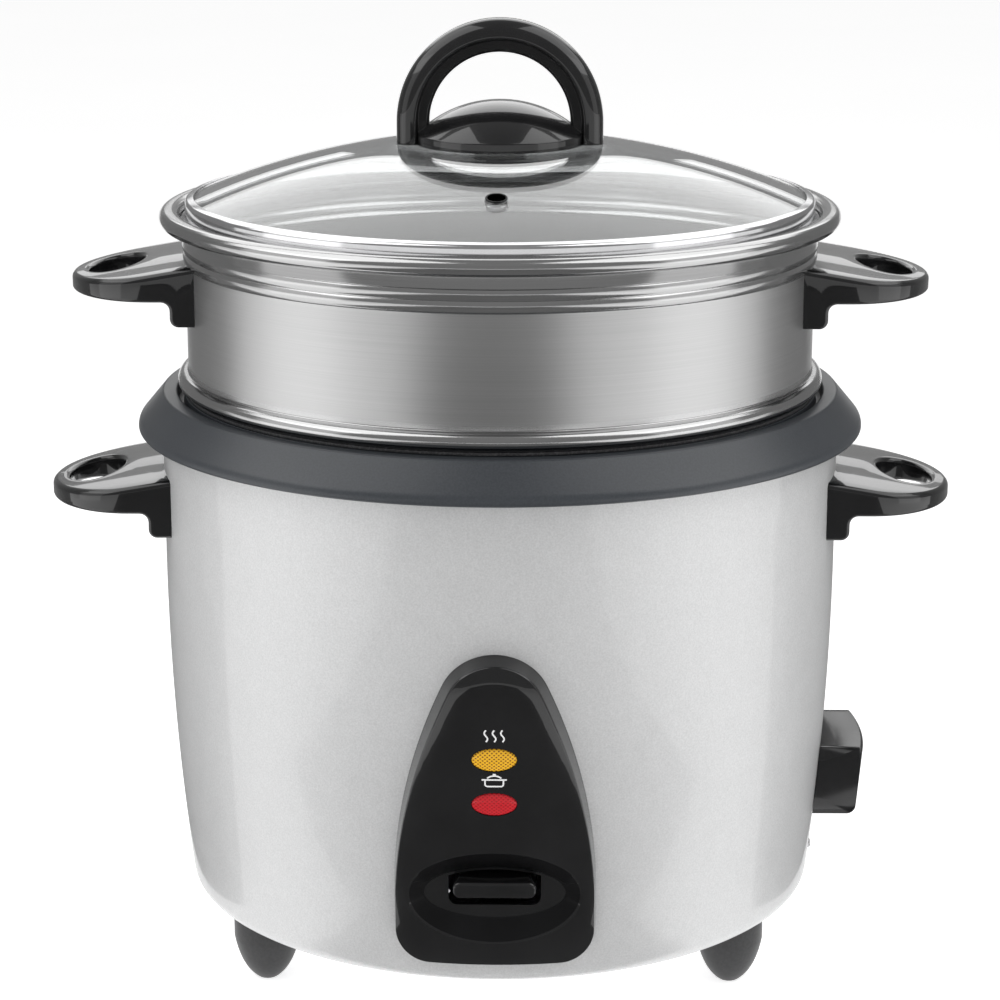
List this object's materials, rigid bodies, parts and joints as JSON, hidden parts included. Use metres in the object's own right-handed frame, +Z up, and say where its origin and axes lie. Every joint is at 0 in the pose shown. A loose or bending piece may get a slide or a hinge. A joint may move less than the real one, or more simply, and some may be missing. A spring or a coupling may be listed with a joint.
{
  "type": "rice cooker",
  "caption": "Round electric rice cooker with a cook lever and lamps on an arched panel, lift-out pot, stacked steamer tray and domed glass lid with a half-ring knob.",
  "frame": {"origin": "on the table under the middle of the drum", "axes": "+Z up; the control panel faces -Y; the power inlet is on +X"},
  "size_m": [0.3226, 0.258, 0.3379],
  "materials": {
    "pearl_paint": "satin pearl paint",
    "slate_plastic": "fine matte moulding",
    "black_gloss": "gloss moulding",
    "charcoal_plastic": "matte moulding",
    "stainless": "satin with polished beads",
    "lid_glass": "clear tempered",
    "aluminium": "plain",
    "steel": "zinc plated",
    "brass": "plain",
    "amber_lens": "clear amber",
    "red_lens": "clear red",
    "lamp_glass": "small neon lamp",
    "silicone": "soft",
    "ferrite": "sintered",
    "mica": "mica sheet",
    "board": "phenolic sheet",
    "wire": "fibreglass sleeve",
    "pot_coat": "anodised and coated"
  },
  "bodies": {
    "cooker": {"body_shell": "pearl_paint", "collar_ring": "slate_plastic", "base_plate": "steel", "foot_rear": "charcoal_plastic", "foot_front_left": "charcoal_plastic", "foot_front_right": "charcoal_plastic", "foot_screws": "steel", "body_handle_left": "black_gloss", "body_handle_right": "black_gloss", "body_handle_screws": "steel", "control_panel": "black_gloss", "panel_screws": "steel", "warm_lens": "amber_lens", "cook_lens": "red_lens", "warm_lamp": "lamp_glass", "cook_lamp": "lamp_glass", "lamp_board": "board", "board_screw": "steel", "inlet_housing": "black_gloss", "inlet_pins": "brass", "inlet_screws": "steel", "earth_rivet": "steel", "liner": "aluminium", "heat_plate": "aluminium", "element_terminals": "steel", "plate_spacers": "steel", "plate_screws": "steel", "warm_band": "mica", "thermal_fuse": "steel", "thermostat_tube": "steel", "lever_bracket": "steel", "pivot_pin": "steel", "switch_body": "charcoal_plastic", "switch_bracket": "steel", "supply_wires": "wire", "sensor_spring": "steel"},
    "pot": {"inner_pot": "pot_coat"},
    "steamer": {"steamer_tray": "stainless", "steamer_handle_left": "black_gloss", "steamer_handle_right": "black_gloss", "steamer_handle_screws": "steel"},
    "lid": {"lid_glass": "lid_glass", "lid_rim": "stainless", "steam_vent": "stainless", "lid_knob": "black_gloss", "knob_screw": "steel", "knob_washer": "steel", "knob_gasket": "silicone"},
    "lever": {"cook_lever": "black_gloss"},
    "magnet": {"magnet": "ferrite", "magnet_rod": "steel"},
    "plunger": {"switch_plunger": "charcoal_plastic"},
    "sensor": {"sensor_cap": "aluminium", "ferrite": "ferrite", "release_spring": "steel"}
  },
  "joints": [
    {"name": "pot_lift", "type": "slide", "parent": "cooker", "child": "pot", "axis": [0, 0, 1], "range_m": [0, 0.15]},
    {"name": "steamer_lift", "type": "slide", "parent": "pot", "child": "steamer", "axis": [0, 0, 1], "range_m": [0, 0.08]},
    {"name": "lid_lift", "type": "slide", "parent": "steamer", "child": "lid", "axis": [0, 0, 1], "range_m": [0, 0.08]},
    {"name": "lever_press", "type": "hinge", "parent": "cooker", "child": "lever", "pos_m": [0, -0.062, 0.036], "axis": [1, 0, 0], "range_deg": [0, 3.2], "stiffness_Nm_per_rad": 0.06, "springref_deg": -17.19},
    {"name": "magnet_lift", "type": "slide", "parent": "cooker", "child": "magnet", "axis": [0, 0, 1], "range_m": [0, 0.0036], "deforming": ["release_spring"]},
    {"name": "plunger_lift", "type": "slide", "parent": "cooker", "child": "plunger", "axis": [0, 0, 1], "range_m": [0, 0.0016]},
    {"name": "sensor_press", "type": "slide", "parent": "cooker", "child": "sensor", "axis": [0, 0, 1], "range_m": [-0.0025, 0], "stiffness_N_per_m": 300, "springref_m": 0.004, "deforming": ["sensor_spring", "release_spring"]}
  ],
  "couplings": [
    {"joint": "magnet_lift", "follows": "lever_press", "m_per_rad": 0.062},
    {"joint": "plunger_lift", "follows": "lever_press", "m_per_rad": 0.026}
  ]
}
